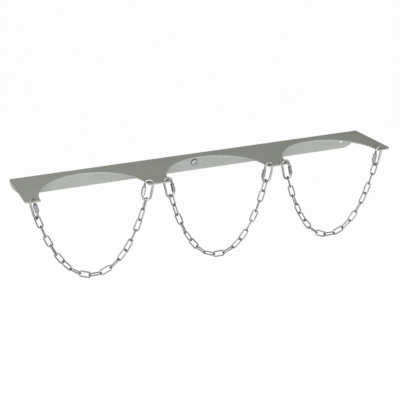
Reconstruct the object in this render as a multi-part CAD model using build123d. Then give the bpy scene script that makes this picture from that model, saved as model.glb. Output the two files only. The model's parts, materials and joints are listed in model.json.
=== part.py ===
from build123d import *

import os
from math import atan, cos, hypot, pi, radians, sin, sqrt, tan

# Wall bracket for a row of gas cylinders, in millimetres: a folded steel plate with a round bay
# for each cylinder, and a chain on two quick links that closes each bay.
# X runs along the wall, +Y into the wall and Z up. The origin is on the wall face, in the middle
# of the row of fixing holes.

# The folded plate
sheet = 3.0  # thickness of the steel
bend_inside = 1.0  # inside radius of the fold
bays = 3
bay_diameter = 240.0
prong_waist = 50.0  # narrowest width of a prong between two bays
bay_reach = 150.5  # wall face to the middle of a bay
prong_nose = 3.5  # how far the prongs stand out past the middle of the bays
end_prong = 29.0  # width of an end prong at the wall, measured from the bay's side
end_splay = 4.0  # how much wider the end prong is at its tip
outer_corner = 10.0  # radius of the two outer tip corners
prong_corner = 3.0  # radius of the other tip corners

# The wall flange
flange_height = 41.5  # from the top of the plate
flange_end = 0.5  # straight part of the flange's ends, between the fold and the round corner
hole_drop = 22.5  # top of the plate to the fixing holes
fixing_hole = 12.0
fixing_end = 39.0  # end of the flange to the outer fixing hole

# The holes that carry the quick links
chain_hole = 11.0
hole_from_tip = 9.0  # front of the prong to the middle of the hole
hole_from_bay = 13.0  # side of the bay to the middle of the hole

# The centre fixing screw, with a domed head
screw = 10.0
screw_head = 17.5
screw_head_height = 5.5
screw_head_rim = 0.8  # straight side of the head under the dome
screw_head_flat = 9.0  # diameter of the flat middle of the dome
screw_key = 6.0  # across the flats of its socket
screw_key_depth = 3.1
screw_length = 45.0  # under the head
screw_point = 1.2  # chamfer at the end of the shank

# The quick links: an oval of wire with a gap, closed by a hexagon sleeve
quick_wire = 5.0
quick_length = 50.0
quick_width = 23.0
quick_gap = 6.0
sleeve_flats = 8.0
sleeve_length = 18.0
sleeve_overlap = 1.0  # of the closed sleeve past the lower end of the gap
sleeve_drop = 4.0  # middle of the closed sleeve below the middle of the link
sleeve_play = 0.1  # radial, between the wire and the sleeve
sleeve_chamfer = 0.8  # how far the ends of the sleeve are turned in

# The chains
chain_links = 17
chain_wire = 3.0
chain_pitch = 25.0
chain_width = 14.0
link_play = 0.5  # between the wires of two chain links that hang in each other
hook_play = 0.5  # between the wires of a quick link and the chain link that hangs in it
plate_play = 0.3  # between a quick link's bow and the plate it hangs on

# How each chain hangs. An end says which way, in degrees about Z from +X, the quick link reaches
# out of its hole, and whether its sleeve is on the wire that goes through the hole. The rolls
# turn the chain's links about its line: pairs of a link's number and its angle to the chain's
# plane, less a quarter turn for each link before it, with even twist in between.
chains = {
    "left": {
        "ends": ((232, True), (164, False)),
        "rolls": (
            (1, 15), (5, 18), (6, 45), (8, 68), (9, 90), (10, 64), (12, 88), (13, 122), (15, 164),
            (17, 226),
        ),
    },
    "middle": {
        "ends": ((4, False), (176, False)),
        "rolls": (
            (1, 60), (2, 45), (3, 18), (4, 28), (6, 82), (8, 132), (10, 170), (11, 186), (13, 238),
            (16, 250), (17, 280),
        ),
    },
    "right": {
        "ends": ((0, False), (195, False)),
        "rolls": (
            (1, -73), (2, -77), (5, -125), (6, -99), (8, -103), (9, -84), (10, -104), (11, -95),
            (12, -119), (14, -164), (15, -196), (17, -228),
        ),
    },
}

# How finely the seats of the quick links and the hang of the chains are worked out
halvings = 60  # of the range in which a value is sought
bow_steps = 30  # points on a quick link's bow that are kept clear of the plate
seating_rounds = 4  # the lean of a quick link and its seat on the plate depend on each other
slack_pull = 0.001  # sideways pull of the slackest chain, over its weight
taut_pull = 10.0  # and of the tautest

plate_top = hole_drop
plate_depth = bay_reach + prong_nose
bend_outside = bend_inside + sheet
bay_radius = bay_diameter / 2
bay_pitch = bay_diameter + prong_waist
outer_bay = (bays - 1) * bay_pitch / 2
flange_half = outer_bay + bay_radius + end_prong
tip_half = flange_half + end_splay
fixing_half = flange_half - fixing_end
flange_corner = flange_height - bend_outside - flange_end
hole_y = hole_from_tip - plate_depth

bow_radius = (quick_width - quick_wire) / 2
bow_inside = bow_radius - quick_wire / 2
quick_straight = quick_length - quick_width
hook_reach = quick_straight + bow_inside - (hook_play - link_play / 2)
sleeve_low = -sleeve_drop - sleeve_length / 2
gap_low = sleeve_low + sleeve_overlap
sleeve_travel = sleeve_overlap + quick_gap + sleeve_play
hexagon_turn = pi / 6  # from the middle of a hexagon's side to its corner

link_radius = (chain_width - chain_wire) / 2
link_straight = chain_pitch + chain_wire + link_play - 2 * link_radius

UP = Vector(0, 0, 1)


def bay_middle(bay):
    """Place along X of a bay, counted from the left."""
    return bay * bay_pitch - outer_bay


def tips(outline):
    """Corners at the front of the prongs, from left to right."""
    return outline.vertices().group_by(Axis.Y)[0].sort_by(Axis.X)


def folded_plate():
    """The plate with its bays, the fold and the wall flange, cut and bent from one sheet."""
    outline = Polygon(
        (-flange_half, -bend_outside),
        (flange_half, -bend_outside),
        (tip_half, -plate_depth),
        (-tip_half, -plate_depth),
        align=None,
    )
    for bay in range(bays):
        outline -= Pos(bay_middle(bay), -bay_reach) * Circle(bay_radius)
    outline = fillet(tips(outline)[1:-1], prong_corner)
    corners = tips(outline)
    outline = fillet([corners[0], corners[-1]], outer_corner)
    for x, y in chain_hole_places():
        outline -= Pos(x, y) * Circle(chain_hole / 2)
    plate = extrude(Plane.XY.offset(plate_top) * outline, sheet, dir=-UP)

    flange_face = Plane.XZ * (
        Pos(0, plate_top - (bend_outside + flange_height) / 2)
        * Rectangle(2 * flange_half, flange_height - bend_outside)
    )
    lower = flange_face.vertices().sort_by(Axis.Z)[:2]
    flange_face = fillet(lower, flange_corner)
    for x in (-fixing_half, 0, fixing_half):
        flange_face -= Plane.XZ * Pos(x, 0) * Circle(fixing_hole / 2)
    flange = extrude(flange_face, sheet, dir=(0, -1, 0))

    ring = Circle(bend_outside) - Circle(bend_inside)
    quarter = ring & Rectangle(bend_outside, bend_outside, align=Align.MIN)
    fold_end = Plane((-flange_half, -bend_outside, plate_top - bend_outside), (0, 1, 0), (1, 0, 0))
    fold = extrude(fold_end * quarter, 2 * flange_half, dir=(1, 0, 0))
    return plate + fold + flange


def chain_hole_places():
    """Middles of the quick links' holes in the prongs, two for each bay from the left."""
    places = []
    for bay in range(bays):
        for side in (-1, 1):
            places.append((bay_middle(bay) + side * (bay_radius + hole_from_bay), hole_y))
    return places


def fixing_screw():
    """Button-head screw with its axis along Z and the seat of its head at the origin."""
    rim, flat = screw_head / 2, screw_head_flat / 2
    top = (flat, screw_head_height)
    profile = Polyline((0, 0), (rim, 0), (rim, screw_head_rim))
    profile += TangentArc((rim, screw_head_rim), top, tangent=(0, 1))
    profile += Polyline(top, (0, screw_head_height), (0, 0))
    head = revolve(Plane.XZ * make_face(profile), Axis.Z)
    socket = RegularPolygon(screw_key / 2, 6, major_radius=False)
    head -= Pos(0, 0, screw_head_height) * extrude(socket, -screw_key_depth)
    shank = extrude(Circle(screw / 2), -screw_length)
    shank = chamfer(shank.edges().sort_by(Axis.Z)[0], screw_point)
    return head + shank


def bent_wire(path, diameter):
    """Round wire along a path."""
    section = Plane(origin=path @ 0, z_dir=path % 0) * Circle(diameter / 2)
    return sweep(section, path=path)


def oval(half_width, straight, low=0.0, high=0.0):
    """Line of an oval link in the XZ plane, from a height on its +X side over the top to another."""
    right, left, end = half_width, -half_width, straight / 2
    return Wire(
        [
            Line((right, 0, high), (right, 0, end)),
            ThreePointArc((right, 0, end), (0, 0, end + half_width), (left, 0, end)),
            Line((left, 0, end), (left, 0, -end)),
            ThreePointArc((left, 0, -end), (0, 0, -end - half_width), (right, 0, -end)),
            Line((right, 0, -end), (right, 0, low)),
        ]
    )


def quick_link():
    """Open oval of wire; the gap is in its +X side."""
    return bent_wire(oval(bow_radius, quick_straight, gap_low, gap_low + quick_gap), quick_wire)


def sleeve():
    """Hexagon sleeve that closes the gap of a quick link."""
    nut = extrude(RegularPolygon(sleeve_flats / 2, 6, major_radius=False), sleeve_length)
    turned = extrude(Circle(sleeve_flats / cos(hexagon_turn) / 2), sleeve_length)
    rims = turned.edges().filter_by(GeomType.CIRCLE)
    turned = chamfer(rims, sleeve_chamfer * tan(hexagon_turn), sleeve_chamfer)
    bore = extrude(Circle(quick_wire / 2 + sleeve_play), sleeve_length)
    return Pos(bow_radius, 0, sleeve_low) * ((nut & turned) - bore)


def chain_link():
    """Closed oval link."""
    return bent_wire(oval(link_radius, link_straight), chain_wire)


def wire_volume(diameter, run):
    """Volume of a run of round wire."""
    return pi / 4 * diameter**2 * run


def rising_root(function, low, high):
    """Where a rising function passes through zero, by halving."""
    for _ in range(halvings):
        middle = (low + high) / 2
        if function(middle) < 0:
            low = middle
        else:
            high = middle
    return (low + high) / 2


def hanging_slopes(span, rise):
    """Slopes of a quick link, the chain's links and a quick link that hang between two points."""
    quick_weight = wire_volume(quick_wire, 2 * quick_straight + 2 * pi * bow_radius - quick_gap)
    quick_weight += 3 * tan(hexagon_turn) * sleeve_flats**2 / 2 * sleeve_length
    quick_weight -= wire_volume(quick_wire, sleeve_length)
    link_weight = wire_volume(chain_wire, 2 * link_straight + 2 * pi * link_radius)
    reaches = [hook_reach] + [chain_pitch] * chain_links + [hook_reach]
    weights = [quick_weight] + [link_weight] * chain_links + [quick_weight]
    middles = [sum(weights[:i]) + weight / 2 for i, weight in enumerate(weights)]
    total = sum(weights)

    def slopes(pull, carried):
        return [atan((middle - carried) / pull) for middle in middles]

    def carried_left(pull):
        """Weight that the left end carries, for the right end to be higher by the rise."""

        def too_low(carried):
            climb = sum(r * sin(s) for r, s in zip(reaches, slopes(pull, carried)))
            return rise - climb

        return rising_root(too_low, 0, total)

    def too_wide(pull):
        run = slopes(pull, carried_left(pull))
        return sum(r * cos(s) for r, s in zip(reaches, run)) - span

    pull = rising_root(too_wide, total * slack_pull, total * taut_pull)
    return list(zip(reaches, slopes(pull, carried_left(pull))))


def steel_gap(point, bay, hole):
    """Distance from a point near a chain hole to the steel of the plate."""
    flat = Vector(point.X, point.Y)
    in_hole = chain_hole / 2 - (flat - hole).length
    in_bay = bay_radius - (flat - Vector(bay_middle(bay), -bay_reach)).length
    in_front = -plate_depth - point.Y
    beside = max(0, in_hole, in_bay, in_front)
    above = max(0, point.Z - plate_top, plate_top - sheet - point.Z)
    return hypot(beside, above)


def bow_middle(bay, hole, toward, up):
    """Middle of the bow that a quick link hangs by, over the metal between its hole and the edge."""
    from_bay = hole - Vector(bay_middle(bay), -bay_reach)
    along = from_bay.dot(toward)
    inside = along**2 + bay_radius**2 - from_bay.dot(from_bay)
    if along < 0 and inside > 0:
        edge = -along - sqrt(inside)
    else:
        edge = -(hole.Y + plate_depth) / toward.Y
    over_metal = hole + toward * (chain_hole / 2 + edge) / 2
    side = square_to(toward, up)

    def room(height):
        """Least space round the wire, along the bow and down both legs to below the plate."""
        middle = over_metal + UP * height
        bow = [pi * step / bow_steps for step in range(bow_steps + 1)]
        line = [middle + (side * cos(angle) + up * sin(angle)) * bow_radius for angle in bow]
        line += [line[i] - up * drop for i in (0, -1) for drop in (sheet, 2 * sheet)]
        return min(steel_gap(point, bay, hole) for point in line) - quick_wire / 2 - plate_play

    return over_metal + UP * rising_root(room, plate_top - bow_radius, plate_top)


def square_to(direction, axis):
    """The part of a direction that is square to an axis."""
    return (direction - axis * direction.dot(axis)).normalized()


def roll_of(rolls, number):
    """Angle of a link about the chain's line, from the pairs given for its chain."""
    for (first, start), (last, end) in zip(rolls, rolls[1:]):
        if number <= last:
            twist = start + (end - start) * (number - first) / (last - first)
            return twist + 90 * (number - 1)


def hung_chain(bay, ends, rolls):
    """Planes of the two quick links and of the chain's links, and the points they swing about."""
    holes = [Vector(*place) for place in chain_hole_places()[2 * bay : 2 * bay + 2]]
    towards = [Vector(cos(radians(heading)), sin(radians(heading))) for heading, _ in ends]
    ups = [UP, UP]
    for _ in range(seating_rounds):
        start, finish = (bow_middle(bay, *end) for end in zip(holes, towards, ups))
        flat = Vector(finish.X - start.X, finish.Y - start.Y)
        along = flat.normalized()
        pieces = []
        point = start
        for reach, slope in hanging_slopes(flat.length, finish.Z - start.Z):
            line = along * cos(slope) + UP * sin(slope)
            pieces.append((point + line * (reach / 2), line))
            point += line * reach
        ups = [-pieces[0][1], pieces[-1][1]]

    quick_planes = []
    for middle, toward, (_, in_hole), up in zip((start, finish), towards, ends, ups):
        side = square_to(-toward if in_hole else toward, up)
        quick_planes.append(Plane(middle - up * (quick_straight / 2), side, up))
    link_planes = []
    across = along.cross(UP)
    for number, (middle, line) in enumerate(pieces[1:-1], start=1):
        roll = radians(roll_of(rolls, number))
        side = across.cross(line) * cos(roll) + across * sin(roll)
        link_planes.append(Plane(middle, side, line))
    tops = [middle + up * bow_radius for middle, up in zip((start, finish), ups)]
    return quick_planes, link_planes, tops


def save(node, shape):
    """Write one node of the part."""
    export_step(shape, os.path.join("parts", node + ".step"))


def show(what, points):
    """Print the line that a piece swings about."""
    places = [tuple(round(v, 3) for v in point) for point in points]
    direction = (points[1] - points[0]).normalized()
    print(what, "through", *places, "along", tuple(round(v, 5) for v in direction))


os.makedirs("parts", exist_ok=True)
print("sleeves slide up by", sleeve_travel)
save("bracket_plate", folded_plate())
save("fixing_screw", Plane((0, -sheet, 0), z_dir=(0, -1, 0)) * fixing_screw())
for bay, (name, chain) in enumerate(chains.items()):
    quick_planes, link_planes, tops = hung_chain(bay, chain["ends"], chain["rolls"])
    show(name + " chain swings", tops)
    for side, plane in zip(("left", "right"), quick_planes):
        save(f"{name}_chain_{side}_quick_link", plane * quick_link())
        save(f"{name}_chain_{side}_sleeve", plane * sleeve())
        print(f"{name} {side} sleeve slides along", tuple(round(v, 5) for v in plane.z_dir))
    for first in range(0, chain_links, 2):
        pair = [plane * chain_link() for plane in link_planes[first : first + 2]]
        numbers = "_".join(f"{first + 1 + i:02}" for i in range(len(pair)))
        save(f"{name}_chain_links_{numbers}", Compound(children=pair))
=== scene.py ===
"""Looks of the gas cylinder bracket: a powder-coated plate with three chains on quick links.

Everything is in metres and in the CAD frame: the wall face is Y = 0, +Y goes into the wall and
+Z is up. The plate and the sleeves keep their CAD solids. The quick links, the chain links and
the fixing screw are built again here, with their threads and weld bulges.
"""

import json
import math
import random
from functools import partial

import bmesh
import bpy
import numpy as np
from mathutils import Matrix, Vector

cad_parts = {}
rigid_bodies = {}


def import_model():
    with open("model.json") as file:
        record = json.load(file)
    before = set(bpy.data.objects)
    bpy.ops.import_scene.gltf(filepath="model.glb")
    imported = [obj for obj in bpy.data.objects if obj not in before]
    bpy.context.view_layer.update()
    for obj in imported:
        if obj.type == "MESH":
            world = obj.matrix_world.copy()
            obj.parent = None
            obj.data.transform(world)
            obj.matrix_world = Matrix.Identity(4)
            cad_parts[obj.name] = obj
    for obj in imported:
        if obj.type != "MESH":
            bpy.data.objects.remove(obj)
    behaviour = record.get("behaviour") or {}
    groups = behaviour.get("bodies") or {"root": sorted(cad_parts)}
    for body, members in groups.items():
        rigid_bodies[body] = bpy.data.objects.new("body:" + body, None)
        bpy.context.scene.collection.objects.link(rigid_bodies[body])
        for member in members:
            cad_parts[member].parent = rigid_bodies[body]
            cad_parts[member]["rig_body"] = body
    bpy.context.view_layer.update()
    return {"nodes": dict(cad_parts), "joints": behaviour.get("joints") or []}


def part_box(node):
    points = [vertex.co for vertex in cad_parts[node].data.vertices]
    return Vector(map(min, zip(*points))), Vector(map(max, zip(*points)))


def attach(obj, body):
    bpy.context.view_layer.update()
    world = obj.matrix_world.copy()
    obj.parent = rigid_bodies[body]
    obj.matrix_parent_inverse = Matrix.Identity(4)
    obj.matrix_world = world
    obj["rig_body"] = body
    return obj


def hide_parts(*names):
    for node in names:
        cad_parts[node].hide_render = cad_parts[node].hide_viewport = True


MM = 0.001
FULL_TURN = 2 * math.pi

# The camera
CAMERA = Vector((-0.9035, -2.1174, 0.8116))
CAMERA_YAW = math.radians(23.47)  # from +Y toward +X
CAMERA_DIP = math.radians(21.53)  # below the horizon
CAMERA_LENS = 93.31
CAMERA_SENSOR = 36.0
CAMERA_REACH = 200.0

# The room and its lamps: name, place, aim, size, watts and colour
WHITE = (1.0, 1.0, 1.0)
FLOOR_DROP = 2.4  # clear of a camera that looks up at the bracket
FLOOR_HALF = 40.0
FLOOR_COLOUR = (0.82, 0.82, 0.82)
FLOOR_ROUGHNESS = 0.9
FLOOR_WHITE = 0.97  # share of white that the camera sees, so that a trace of shadow stays
ROOM_COLOUR = (1.0, 1.0, 0.97)
ROOM_STRENGTH = 0.345
LAMPS = (
    ("front_softbox", (-1.3, -4.8, 0.5), (0.0, -0.05, 0.0), 2.4, 264.0, (0.935, 0.925, 1.0)),
    ("right_softbox", (3.0, -3.4, 0.2), (0.0, -0.05, 0.0), 1.8, 55.0, (0.955, 0.95, 1.0)),
    ("left_softbox", (-1.0, -0.6, 1.0), (-0.2, -0.05, 0.0), 0.8, 8.0, WHITE),
)

# Powder coat: scales are in grains a metre
PEEL_SCALE, PEEL_DEPTH = 620.0, 0.03 * MM
GRAIN_SCALE, GRAIN_DEPTH = 4200.0, 0.005 * MM
COAT_CLOUD_SCALE = 9.0
COAT_ROUGHNESS = (0.60, 0.72)
COAT_SPECULAR = 0.3
COAT_DARKEST_GRAIN = 0.93
EDGE_GAIN = 1.22  # how much lighter the thin coat on an edge is

# Zinc
ZINC_CLOUD_SCALE = 70.0
SPANGLE_DEPTH = 0.03 * MM
SPANGLE_DARKEST = 0.78
SCRATCH_SCALE, SCRATCH_DEPTH = 900.0, 0.02 * MM
SCRATCH_STRETCH = (1.0, 1.0, 0.08)
ROUGHER, SMOOTHER = 0.12, 0.06  # either side of the zinc's roughness

# Threads: pitch and depth, as on M5 and M10 coarse threads
M5_PITCH, M5_DEPTH = 0.8 * MM, 0.4 * MM
M10_PITCH, M10_DEPTH = 1.5 * MM, 0.8 * MM
STEPS_A_TURN = 8  # rings of the mesh for each turn of a thread
THREAD_SLOPE, THREAD_ROOT = 1.6, 0.3  # of the V, which is cut flat at its crest and root

# Rounding of edges by the finish
PLATE_EDGE = 0.5 * MM
SLEEVE_EDGE = 0.2 * MM
EDGE_SEGMENTS = 2
EDGE_ANGLE = math.radians(25)  # the least that counts as an edge
FLAT_FACES_LEAD = 100

# The quick links, as the CAD has them
QUICK_WIRE = 2.5 * MM  # radius
QUICK_GAP = 6.0 * MM
SLEEVE_OVERLAP = 1.0 * MM
UPPER_THREAD = 18.5 * MM  # long enough for the sleeve to screw up and free the gap
LOWER_THREAD = 3.5 * MM
QUICK_RINGS = 72  # round the plain part of the oval
QUICK_SHARP = math.radians(50)

# The chain links
LINK_WIRE = 1.5 * MM
LINK_RINGS = 40  # round the oval, apart from the weld
WELD_RISE = 0.22 * MM  # how far the weld stands out of the wire
WELD_RISES = (0.7, 1.1)  # of that, from link to link
WELD_HALF = 1.3 * MM
WELD_FALL = 2.2  # how steeply it falls away at that distance
WELD_REACH = 2.0  # of its half, where the wire is plain again
WELD_STEPS = 4  # rings over its half
WELD_RINGS = 6  # rings to either side of its middle
WELD_WANDER = 0.06  # of the straight side, to either side of the middle

# The fixing screw
HEAD_HEIGHT = 5.5 * MM
HEAD_RIM = 0.8 * MM  # straight side under the dome
HEAD_FLAT = 4.5 * MM  # radius of the flat middle of the dome
HEAD_EDGE = 0.1 * MM
HEAD_FILLET = 0.3 * MM  # under the head
SHANK = 5.0 * MM
KEY_FLATS = 3.0 * MM
KEY_DEPTH = 3.1 * MM
KEY_EDGE = 0.3 * MM
THREAD_LENGTH = 38.0 * MM
SCREW_AROUND = 96
DOME_STEPS = 12
SCREW_SHARP = math.radians(40)

AROUND = 20  # points round a wire
POINT_MERGE = 1e-6

rng = random.Random(4)  # which side of a link its weld is on, where, and how large


# ---------------------------------------------------------------- materials


def new_material(name):
    """An empty node material with its Principled shader."""
    material = bpy.data.materials.new(name)
    material.use_nodes = True
    nodes = material.node_tree.nodes
    return material, nodes, material.node_tree.links, nodes["Principled BSDF"]


def noise(nodes, links, scale, detail=2.0, roughness=0.5, stretch=None):
    """Noise in the piece's own coordinates; scale is in grains a metre."""
    place = nodes.new("ShaderNodeTexCoord").outputs["Object"]
    texture = nodes.new("ShaderNodeTexNoise")
    texture.inputs["Scale"].default_value = scale
    texture.inputs["Detail"].default_value = detail
    texture.inputs["Roughness"].default_value = roughness
    if stretch:
        mapping = nodes.new("ShaderNodeMapping")
        mapping.inputs["Scale"].default_value = stretch
        links.new(place, mapping.inputs["Vector"])
        place = mapping.outputs["Vector"]
    links.new(place, texture.inputs["Vector"])
    return texture.outputs["Fac"]


def ramp(nodes, links, factor, *stops):
    """Colour ramp over a factor; the two stops are a position and a grey or an RGB."""
    node = nodes.new("ShaderNodeValToRGB")
    for point, (position, colour) in zip(node.color_ramp.elements, stops):
        point.position = position
        point.color = (*(colour if isinstance(colour, tuple) else (colour,) * 3), 1.0)
    links.new(factor, node.inputs["Fac"])
    return node.outputs["Color"]


def multiply(nodes, links, first, second):
    """Product of two colour sockets."""
    mix = nodes.new("ShaderNodeMix")
    mix.data_type = "RGBA"
    mix.blend_type = "MULTIPLY"
    inputs = {socket.identifier: socket for socket in mix.inputs}
    outputs = {socket.identifier: socket for socket in mix.outputs}
    inputs["Factor_Float"].default_value = 1.0
    links.new(first, inputs["A_Color"])
    links.new(second, inputs["B_Color"])
    return outputs["Result_Color"]


def bump(nodes, links, shader, *layers):
    """Chain of bumps on a shader; layers are pairs of height socket and depth in metres."""
    normal = None
    for height, depth in layers:
        node = nodes.new("ShaderNodeBump")
        node.inputs["Distance"].default_value = depth
        links.new(height, node.inputs["Height"])
        if normal is not None:
            links.new(normal, node.inputs["Normal"])
        normal = node.outputs["Normal"]
    links.new(normal, shader.inputs["Normal"])


def powder_coat(name, dark, light):
    """Powder coat: orange peel, a fine grain and a coat that is thinner along edges."""
    material, nodes, links, shader = new_material(name)
    shader.inputs["Specular IOR Level"].default_value = COAT_SPECULAR
    peel = noise(nodes, links, PEEL_SCALE)
    grain = noise(nodes, links, GRAIN_SCALE, detail=1.0)
    cloud = noise(nodes, links, COAT_CLOUD_SCALE, detail=3.0)
    curve = nodes.new("ShaderNodeNewGeometry").outputs["Pointiness"]
    tone = ramp(nodes, links, cloud, (0.3, dark), (0.7, light))
    speck = ramp(nodes, links, grain, (0.35, COAT_DARKEST_GRAIN), (0.65, 1.0))
    edges = ramp(nodes, links, curve, (0.5, 1.0), (0.62, EDGE_GAIN))
    coat = multiply(nodes, links, tone, speck)
    gloss = ramp(nodes, links, peel, (0.3, COAT_ROUGHNESS[0]), (0.7, COAT_ROUGHNESS[1]))
    links.new(multiply(nodes, links, coat, edges), shader.inputs["Base Color"])
    links.new(gloss, shader.inputs["Roughness"])
    bump(nodes, links, shader, (peel, PEEL_DEPTH), (grain, GRAIN_DEPTH))
    return material


def zinc(name, dark, light, roughness, spangle):
    """Electroplated or dipped zinc over drawn wire: cloudy tone, spangle and fine scratches."""
    material, nodes, links, shader = new_material(name)
    shader.inputs["Metallic"].default_value = 1.0
    cloud = noise(nodes, links, ZINC_CLOUD_SCALE, detail=4.0, roughness=0.6)
    spots = noise(nodes, links, spangle, detail=3.0, roughness=0.7)
    scratch = noise(nodes, links, SCRATCH_SCALE, stretch=SCRATCH_STRETCH)
    tone = ramp(nodes, links, cloud, (0.32, dark), (0.68, light))
    dull = ramp(nodes, links, spots, (0.38, SPANGLE_DARKEST), (0.58, 1.0))
    gloss = ramp(nodes, links, spots, (0.3, roughness + ROUGHER), (0.7, roughness - SMOOTHER))
    links.new(multiply(nodes, links, tone, dull), shader.inputs["Base Color"])
    links.new(gloss, shader.inputs["Roughness"])
    bump(nodes, links, shader, (scratch, SCRATCH_DEPTH), (spots, SPANGLE_DEPTH))
    return material


def finish_node(node, material, edge):
    """Give a CAD node its material, and round its sharp edges by a width as a finish does."""
    node.data.materials.clear()
    node.data.materials.append(material)
    if "custom_normal" in node.data.attributes:
        node.data.attributes.remove(node.data.attributes["custom_normal"])
    node.data.shade_smooth()
    weld = node.modifiers.new("weld", "WELD")
    weld.merge_threshold = POINT_MERGE
    bevel = node.modifiers.new("edges", "BEVEL")
    bevel.width = edge
    bevel.segments = EDGE_SEGMENTS
    bevel.limit_method = "ANGLE"
    bevel.angle_limit = EDGE_ANGLE
    normals = node.modifiers.new("normals", "WEIGHTED_NORMAL")
    normals.weight = FLAT_FACES_LEAD


# ---------------------------------------------------------------- meshes


def tube_rings(rings, closed):
    """Quads between rings of as many points each, and the two ends where it isn't closed."""
    count, around = len(rings), len(rings[0])
    points = [point for ring in rings for point in ring]
    faces = []
    for i in range(count if closed else count - 1):
        a, b = i * around, (i + 1) % count * around
        for j in range(around):
            k = (j + 1) % around
            faces.append((a + j, a + k, b + k, b + j))
    if not closed:
        faces.append(tuple(reversed(range(around))))
        faces.append(tuple(range((count - 1) * around, count * around)))
    return points, faces


def mesh_piece(name, parts, material, body, replaced, sharp_angle=None):
    """One mesh object from parts of points and faces, riding on a body for a CAD node."""
    points, faces = [], []
    for part_points, part_faces in parts:
        start = len(points)
        points += part_points
        faces += [tuple(start + i for i in face) for face in part_faces]
    mesh = bpy.data.meshes.new(name)
    mesh.from_pydata(points, [], faces)
    mesh.validate()
    mesh.materials.append(material)
    mesh.shade_smooth()
    if sharp_angle:
        mesh.set_sharp_from_angle(angle=sharp_angle)
    piece = bpy.data.objects.new(name, mesh)
    bpy.context.scene.collection.objects.link(piece)
    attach(piece, body)
    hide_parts(replaced)
    return piece


def saw(turns):
    """Height of a V thread at a place given in turns, from 0 in the root to 1 on the crest."""
    return min(1.0, max(0.0, THREAD_SLOPE * (1 - abs(2 * (turns % 1.0) - 1)) - THREAD_ROOT))


def sizes_round(count, radius):
    """Angles round a ring, each with its radius, which is a number or depends on the angle."""
    for step in range(count):
        angle = FULL_TURN * step / count
        yield angle, radius(angle) if callable(radius) else radius


class Oval:
    """Centre line of an oval link: X across, Z along, measured from the middle of its +X side."""

    def __init__(self, bow, straight):
        self.bow, self.straight = bow, straight
        self.arc = math.pi * bow
        self.whole = 2 * (straight + self.arc)

    def at(self, run):
        """Point and outward direction at a run along the line, upward on the +X side."""
        run = (run + self.straight / 2) % self.whole
        half = self.straight + self.arc
        sign = 1 if run < half else -1
        run %= half
        if run < self.straight:
            out = Vector((sign, 0, 0))
            return Vector((sign * self.bow, 0, sign * (run - self.straight / 2))), out
        turn = (run - self.straight) / self.bow
        out = Vector((sign * math.cos(turn), 0, sign * math.sin(turn)))
        return Vector((0, 0, sign * self.straight / 2)) + out * self.bow, out

    def ring(self, run, radius, place):
        """Points round the wire at a run, in the frame."""
        middle, out = self.at(run)
        square = Vector((0, 1, 0))
        return [
            place @ (middle + (out * math.cos(angle) + square * math.sin(angle)) * size)
            for angle, size in sizes_round(AROUND, radius)
        ]


def corners(mesh_object):
    """Points of a CAD node as an array."""
    return np.array([v.co for v in mesh_object.data.vertices], float)


def solids(mesh_object):
    """The points of each separate solid of a CAD node."""
    mesh = bmesh.new()
    mesh.from_mesh(mesh_object.data)
    bmesh.ops.remove_doubles(mesh, verts=mesh.verts, dist=POINT_MERGE)
    left, found = set(mesh.verts), []
    while left:
        waiting = [left.pop()]
        island = []
        while waiting:
            vert = waiting.pop()
            island.append(tuple(vert.co))
            for edge in vert.link_edges:
                other = edge.other_vert(vert)
                if other in left:
                    left.remove(other)
                    waiting.append(other)
        found.append(np.array(island))
    mesh.free()
    return sorted(found, key=lambda points: tuple(points.mean(0)))


def placed(points, along=None, toward=None):
    """Place of an oval link in the frame, and its outer length and width, from its points."""
    axes = np.linalg.eigh(np.cov(points.T))[1]
    square = axes[:, 0]
    along = axes[:, 2] if along is None else np.array(along) / np.linalg.norm(along)
    across = np.cross(square, along)
    across /= np.linalg.norm(across)
    if toward is not None and (toward - points.mean(0)) @ across < 0:
        across = -across
    square = np.cross(along, across)
    turned = points @ np.array((across, square, along)).T
    low, high = turned.min(0), turned.max(0)
    middle = (low + high) / 2 @ np.array((across, square, along))
    place = Matrix.Translation(middle) @ Matrix(np.array((across, square, along)).T).to_4x4()
    return place, high[2] - low[2], high[0] - low[0]


def chain_link(points):
    """A link of welded wire in the place of its solid."""
    place, length, width = placed(points)
    oval = Oval(width / 2 - LINK_WIRE, length - width)
    if rng.random() < 0.5:
        place = place @ Matrix.Rotation(math.pi, 4, "Z")
    weld_middle = rng.uniform(-WELD_WANDER, WELD_WANDER) * oval.straight
    rise = WELD_RISE * rng.uniform(*WELD_RISES)
    runs = [
        weld_middle + WELD_HALF * step / WELD_STEPS for step in range(-WELD_RINGS, WELD_RINGS + 1)
    ]
    first, last = runs[-1], runs[0] + oval.whole
    runs += [first + (last - first) * step / LINK_RINGS for step in range(1, LINK_RINGS)]
    rings = []
    for run in runs:
        off = (run - weld_middle) / WELD_HALF
        bulge = rise * math.exp(-WELD_FALL * off * off) if abs(off) < WELD_REACH else 0.0
        rings.append(oval.ring(run, LINK_WIRE + bulge, place))
    return tube_rings(rings, closed=True)


def quick_wire(height, gap_low, gap_high, angle):
    """Radius of a quick link's wire at a height on the side with the gap, and an angle round it."""
    top, bottom = gap_high + UPPER_THREAD, gap_low - LOWER_THREAD
    if gap_high <= height <= top:
        fade = min(1.0, (top - height) / M5_PITCH)
    elif bottom <= height <= gap_low:
        fade = min(1.0, (height - gap_low + LOWER_THREAD) / M5_PITCH)
    else:
        return QUICK_WIRE
    near_end = min(abs(height - gap_low), abs(height - gap_high))
    taper = max(0.0, 1 - near_end / M5_PITCH) * M5_DEPTH
    root = QUICK_WIRE - M5_DEPTH
    thread = root + M5_DEPTH * saw(height / M5_PITCH - angle / FULL_TURN)
    return min(QUICK_WIRE * (1 - fade) + thread * fade, QUICK_WIRE - taper)


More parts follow.
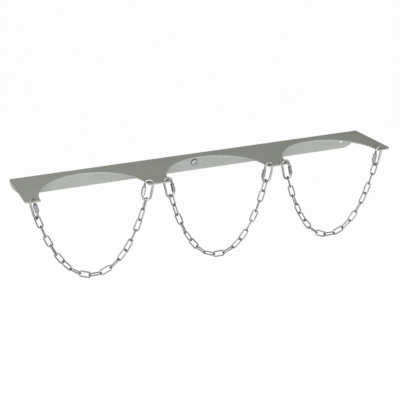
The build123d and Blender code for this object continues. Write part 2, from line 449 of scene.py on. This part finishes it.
def quick_link(points, along, sleeve_middle, sleeve_length):
    """The open oval of a quick link with the threads that its sleeve runs on."""
    place, length, width = placed(points, along, sleeve_middle)
    oval = Oval(width / 2 - QUICK_WIRE, length - width)
    on_side = place.inverted() @ Vector(sleeve_middle)
    gap_low = on_side.z - sleeve_length / 2 + SLEEVE_OVERLAP
    gap_high = gap_low + QUICK_GAP
    step = M5_PITCH / STEPS_A_TURN
    runs = [gap_high + step * i for i in range(int(UPPER_THREAD / step) + 2)]
    first, last = runs[-1], oval.whole + gap_low - LOWER_THREAD
    runs += [first + (last - first) * i / QUICK_RINGS for i in range(1, QUICK_RINGS)]
    runs += [last + step * i for i in range(int(LOWER_THREAD / step))]
    runs.append(oval.whole + gap_low)
    rings = []
    for run in runs:
        height = run if run < oval.whole / 2 else run - oval.whole
        rings.append(oval.ring(run, partial(quick_wire, height, gap_low, gap_high), place))
    return tube_rings(rings, closed=False)


def turned_ring(y, radius):
    """Points of a ring about the screw's axis, Y."""
    return [
        Vector((math.cos(angle) * size, y, math.sin(angle) * size))
        for angle, size in sizes_round(SCREW_AROUND, radius)
    ]


def key_hole(edge, angle):
    """Distance from the axis to the side of the hexagon key hole, or to that of its edge."""
    side = math.pi / 3
    return KEY_FLATS / math.cos((angle + side / 2) % side - side / 2) + edge


def threaded_shank(height, fade, taper, angle):
    """Radius of the threaded shank at a height from the thread's start and an angle round it."""
    depth = M10_DEPTH * (1 - saw(height / M10_PITCH - angle / FULL_TURN))
    return SHANK - max(depth * fade, taper)


def fixing_screw(low, high):
    """Button-head screw along Y with a hexagon key hole, a domed head and a thread."""
    head = (high.x - low.x) / 2
    top, seat, point = low.y, low.y + HEAD_HEIGHT, high.y
    rings = [
        turned_ring(top + KEY_DEPTH, partial(key_hole, 0.0)),
        turned_ring(top + KEY_EDGE, partial(key_hole, 0.0)),
        turned_ring(top, partial(key_hole, KEY_EDGE)),
    ]
    # The dome leaves its rim upright: the arc's middle lies level with the rim's upper edge
    rise = HEAD_HEIGHT - HEAD_RIM
    run = head - HEAD_FLAT
    dome = (run * run + rise * rise) / (2 * run)
    spread = math.asin(rise / dome)
    for i in range(DOME_STEPS + 1):
        turn = spread * (1 - i / DOME_STEPS)
        size = head - dome * (1 - math.cos(turn))
        rings.append(turned_ring(seat - HEAD_RIM - dome * math.sin(turn), size))
    start = point - THREAD_LENGTH
    rings += [
        turned_ring(seat - HEAD_EDGE, head),
        turned_ring(seat, head - HEAD_EDGE),
        turned_ring(seat, SHANK + HEAD_FILLET),
        turned_ring(seat + HEAD_FILLET, SHANK),
        turned_ring(start, SHANK),
    ]
    step = M10_PITCH / STEPS_A_TURN
    for i in range(1, int(THREAD_LENGTH / step)):
        y = start + step * i
        fade = min(1.0, i / STEPS_A_TURN)
        taper = max(0.0, 1 - (point - y) / M10_PITCH) * M10_DEPTH
        rings.append(turned_ring(y, partial(threaded_shank, y - start, fade, taper)))
    rings.append(turned_ring(point, SHANK - M10_DEPTH))
    return tube_rings(rings, closed=False)


# ---------------------------------------------------------------- room and light


def seen_white(tree, plain, output_socket, shader_type, share=1.0):
    """Let camera, glossy and clear rays see white in place of the plain shader."""
    path = tree.nodes.new("ShaderNodeLightPath")
    total = path.outputs["Is Camera Ray"]
    for kind in ("Is Glossy Ray", "Is Transmission Ray"):
        both = tree.nodes.new("ShaderNodeMath")
        both.operation = "MAXIMUM"
        tree.links.new(total, both.inputs[0])
        tree.links.new(path.outputs[kind], both.inputs[1])
        total = both.outputs["Value"]
    scaled = tree.nodes.new("ShaderNodeMath")
    scaled.operation = "MULTIPLY"
    scaled.inputs[1].default_value = share
    tree.links.new(total, scaled.inputs[0])
    white = tree.nodes.new(shader_type)
    white.inputs["Color"].default_value = (*WHITE, 1.0)
    white.inputs["Strength"].default_value = 1.0
    mix = tree.nodes.new("ShaderNodeMixShader")
    tree.links.new(scaled.outputs["Value"], mix.inputs["Fac"])
    tree.links.new(plain, mix.inputs[1])
    tree.links.new(white.outputs[0], mix.inputs[2])
    tree.links.new(mix.outputs["Shader"], output_socket)


def add_camera():
    """The camera, to the front left of the bracket and above it."""
    camera = bpy.data.objects.new("camera", bpy.data.cameras.new("camera"))
    bpy.context.scene.collection.objects.link(camera)
    camera.location = CAMERA
    camera.rotation_euler = (math.pi / 2 - CAMERA_DIP, 0.0, -CAMERA_YAW)
    camera.data.lens = CAMERA_LENS
    camera.data.sensor_width = CAMERA_SENSOR
    camera.data.clip_end = CAMERA_REACH
    bpy.context.scene.camera = camera


def add_world():
    """A dim pale world that looks white."""
    world = bpy.data.worlds.new("room")
    bpy.context.scene.world = world
    world.use_nodes = True
    tree = world.node_tree
    background = tree.nodes["Background"]
    background.inputs["Color"].default_value = (*ROOM_COLOUR, 1.0)
    background.inputs["Strength"].default_value = ROOM_STRENGTH
    surface = tree.nodes["World Output"].inputs["Surface"]
    seen_white(tree, background.outputs["Background"], surface, "ShaderNodeBackground")


def add_floor():
    """A wide pale floor that looks nearly white."""
    half = FLOOR_HALF
    mesh = bpy.data.meshes.new("floor")
    mesh.from_pydata(
        [(-half, -half, 0), (half, -half, 0), (half, half, 0), (-half, half, 0)],
        [],
        [(0, 1, 2, 3)],
    )
    floor = bpy.data.objects.new("floor", mesh)
    floor.location = (0.0, 0.0, -FLOOR_DROP)
    bpy.context.scene.collection.objects.link(floor)
    paint, nodes, _, shader = new_material("floor_white")
    shader.inputs["Base Color"].default_value = (*FLOOR_COLOUR, 1.0)
    shader.inputs["Roughness"].default_value = FLOOR_ROUGHNESS
    surface = nodes["Material Output"].inputs["Surface"]
    seen_white(
        paint.node_tree, shader.outputs["BSDF"], surface, "ShaderNodeEmission", FLOOR_WHITE
    )
    mesh.materials.append(paint)


def add_softbox(name, place, aim, size, watts, colour):
    """Square area lamp turned to a point."""
    lamp = bpy.data.objects.new(name, bpy.data.lights.new(name, "AREA"))
    lamp.data.shape = "SQUARE"
    lamp.data.size = size
    lamp.data.energy = watts
    lamp.data.color = colour
    lamp.location = place
    lamp.rotation_euler = (Vector(aim) - Vector(place)).to_track_quat("-Z", "Y").to_euler()
    bpy.context.scene.collection.objects.link(lamp)


# ---------------------------------------------------------------- the scene

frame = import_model()
nodes = frame["nodes"]
body_of = {name: node["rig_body"] for name, node in nodes.items()}
axis_of = {joint["child"]: joint["axis"] for joint in frame["joints"]}

add_camera()

grey_paint = powder_coat("grey_paint", (0.264, 0.278, 0.244), (0.290, 0.305, 0.269))
# The zinc colours are set darker than bare zinc: painted shade for the dark surroundings that the
# zinc would mirror, and on the chain also for the shade where the links cross.
chain_zinc = zinc("chain_zinc", (0.16, 0.17, 0.15), (0.27, 0.28, 0.26), 0.42, 1400.0)
quick_zinc = zinc("quick_link_zinc", (0.22, 0.23, 0.21), (0.34, 0.35, 0.33), 0.40, 1100.0)
sleeve_zinc = zinc("sleeve_zinc", (0.22, 0.23, 0.225), (0.32, 0.33, 0.33), 0.42, 900.0)
screw_zinc = zinc("screw_zinc", (0.30, 0.31, 0.30), (0.40, 0.41, 0.40), 0.52, 900.0)

finish_node(nodes["bracket_plate"], grey_paint, PLATE_EDGE)
mesh_piece(
    "fixing_screw_threaded",
    [fixing_screw(*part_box("fixing_screw"))],
    screw_zinc,
    body_of["fixing_screw"],
    "fixing_screw",
    SCREW_SHARP,
)

for name in sorted(nodes):
    if name.endswith("sleeve"):
        finish_node(nodes[name], sleeve_zinc, SLEEVE_EDGE)
    elif "_chain_links_" in name:
        welded = [chain_link(points) for points in solids(nodes[name])]
        mesh_piece(name + "_welded", welded, chain_zinc, body_of[name], name)
    elif name.endswith("quick_link"):
        sleeve = name.replace("quick_link", "sleeve")
        sleeve_points = corners(nodes[sleeve])
        along = axis_of[body_of[sleeve]]
        reach = sleeve_points @ np.array(along)
        middle = (sleeve_points.min(0) + sleeve_points.max(0)) / 2
        threaded = quick_link(corners(nodes[name]), along, middle, reach.max() - reach.min())
        mesh_piece(
            name + "_threaded",
            [threaded],
            quick_zinc,
            body_of[name],
            name,
            QUICK_SHARP,
        )

add_world()
add_floor()
for lamp in LAMPS:
    add_softbox(*lamp)

bpy.context.scene.view_settings.view_transform = "Standard"

bpy.context.view_layer.update()
